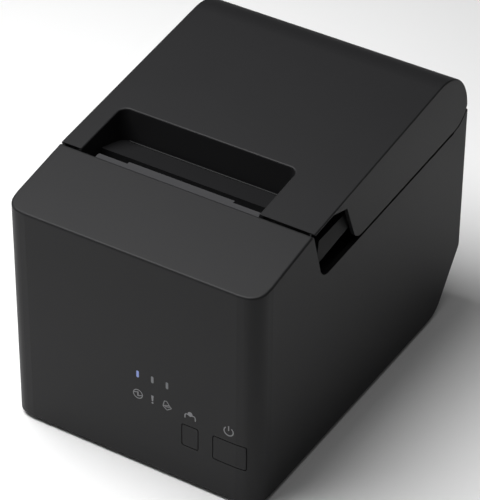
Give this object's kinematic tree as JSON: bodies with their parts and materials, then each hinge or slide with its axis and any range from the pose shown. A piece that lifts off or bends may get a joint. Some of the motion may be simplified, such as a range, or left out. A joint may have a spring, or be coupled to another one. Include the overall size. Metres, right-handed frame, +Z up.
{
  "type": "receipt printer",
  "caption": "Compact black desktop receipt printer with a sloped hinged roll cover, side opening lever, paper exit recess, indicator lamps and front buttons.",
  "frame": {"origin": "centre of the footprint at the underside of the rubber feet", "axes": "+X to the printer's own right as seen from the front, +Y to the rear, +Z up"},
  "size_m": [0.14, 0.199, 0.146],
  "materials": {
    "case": "fine matt texture",
    "cover": "fine matt texture",
    "holder": "matt",
    "lever": "satin",
    "button": "matt",
    "lens_lit": "lit blue lens",
    "lens": "smoke lens",
    "plate": "matt",
    "foot": "matt",
    "bucket": "matt",
    "bar": "satin grey",
    "zinc": "zinc-plated sheet",
    "steel": "ground",
    "motor": "dark can",
    "brass": "machined",
    "gear": "acetal",
    "bushing": "bearing plastic",
    "roller": "ground rubber",
    "ceramic": "glazed",
    "aluminium": "extruded",
    "board": "solder mask",
    "chip": "moulded",
    "socket": "moulded",
    "shell": "plated"
  },
  "bodies": {
    "base": {"base_plate": "plate", "base_screws": "steel", "board_parts": "chip", "body_case": "case", "catch_pins": "steel", "chassis": "zinc", "connector_panel": "zinc", "cutter_frame": "zinc", "cutter_motor": "motor", "drawer_port": "socket", "feed_motor": "motor", "head_rod": "steel", "head_springs": "steel", "heat_sink": "aluminium", "hinge_brackets": "zinc", "hinge_pins": "steel", "main_board": "board", "panel_board": "board", "panel_screws": "steel", "paper_bucket": "bucket", "power_inlet": "socket", "power_lens": "lens_lit", "print_head": "ceramic", "reduction_stud": "steel", "rubber_feet": "foot", "status_lenses": "lens", "tact_switches": "chip", "tear_bar": "bar", "usb_port": "shell"},
    "cover": {"roll_cover": "cover", "platen_holder": "holder", "platen_bushings": "bushing", "fixed_blade": "steel"},
    "platen": {"platen_shaft": "steel", "platen_rubber": "roller", "platen_gear": "gear"},
    "latch": {"open_lever": "lever", "latch_shaft": "steel", "latch_hooks": "steel"},
    "reduction": {"reduction_gear": "gear"},
    "motor_rotor": {"motor_pinion": "brass"},
    "cutter_blade": {"moving_blade": "steel", "blade_racks": "gear"},
    "cutter_drive": {"cutter_shaft": "steel", "cutter_pinions": "gear", "cutter_wheel": "gear"},
    "cutter_rotor": {"cutter_drive_gear": "brass"},
    "feed_key": {"feed_button": "button"},
    "power_key": {"power_button": "button"}
  },
  "joints": [
    {"name": "cover_hinge", "type": "hinge", "parent": "base", "child": "cover", "pos_m": [0, 0.085, 0.12476], "axis": [-1, 0, 0], "range_deg": [0, 100]},
    {"name": "lever_pull", "type": "hinge", "parent": "cover", "child": "latch", "pos_m": [0, -0.008, 0.12], "axis": [-1, 0, 0], "range_deg": [0, 12], "stiffness_Nm_per_rad": 0.6, "springref_deg": -8.59},
    {"name": "platen_spin", "type": "hinge", "parent": "cover", "child": "platen", "pos_m": [0, -0.0299, 0.1022], "axis": [1, 0, 0], "continuous": true},
    {"name": "reduction_spin", "type": "hinge", "parent": "base", "child": "reduction", "pos_m": [0, -0.03962, 0.08924], "axis": [1, 0, 0], "continuous": true},
    {"name": "motor_spin", "type": "hinge", "parent": "base", "child": "motor_rotor", "pos_m": [0, -0.06004, 0.07663], "axis": [1, 0, 0], "continuous": true},
    {"name": "cutter_slide", "type": "slide", "parent": "base", "child": "cutter_blade", "axis": [0, 1, 0], "range_m": [0, 0.008]},
    {"name": "cutter_turn", "type": "hinge", "parent": "base", "child": "cutter_drive", "pos_m": [0, -0.058, 0.1162], "axis": [1, 0, 0], "range_deg": [0, 128]},
    {"name": "cutter_motor_turn", "type": "hinge", "parent": "base", "child": "cutter_rotor", "pos_m": [0, -0.06928, 0.1121], "axis": [1, 0, 0], "range_deg": [-384, 0]},
    {"name": "feed_press", "type": "slide", "parent": "base", "child": "feed_key", "axis": [0, 1, 0], "range_m": [0, 0.0008], "stiffness_N_per_m": 600, "springref_m": -0.0005},
    {"name": "power_press", "type": "slide", "parent": "base", "child": "power_key", "axis": [0, 1, 0], "range_m": [0, 0.0008], "stiffness_N_per_m": 600, "springref_m": -0.0005}
  ],
  "couplings": [
    {"joint": "reduction_spin", "follows": "platen_spin", "ratio": -2},
    {"joint": "motor_spin", "follows": "platen_spin", "ratio": 8},
    {"joint": "cutter_turn", "follows": "cutter_slide", "rad_per_m": 277.78},
    {"joint": "cutter_motor_turn", "follows": "cutter_slide", "rad_per_m": -833.33}
  ]
}
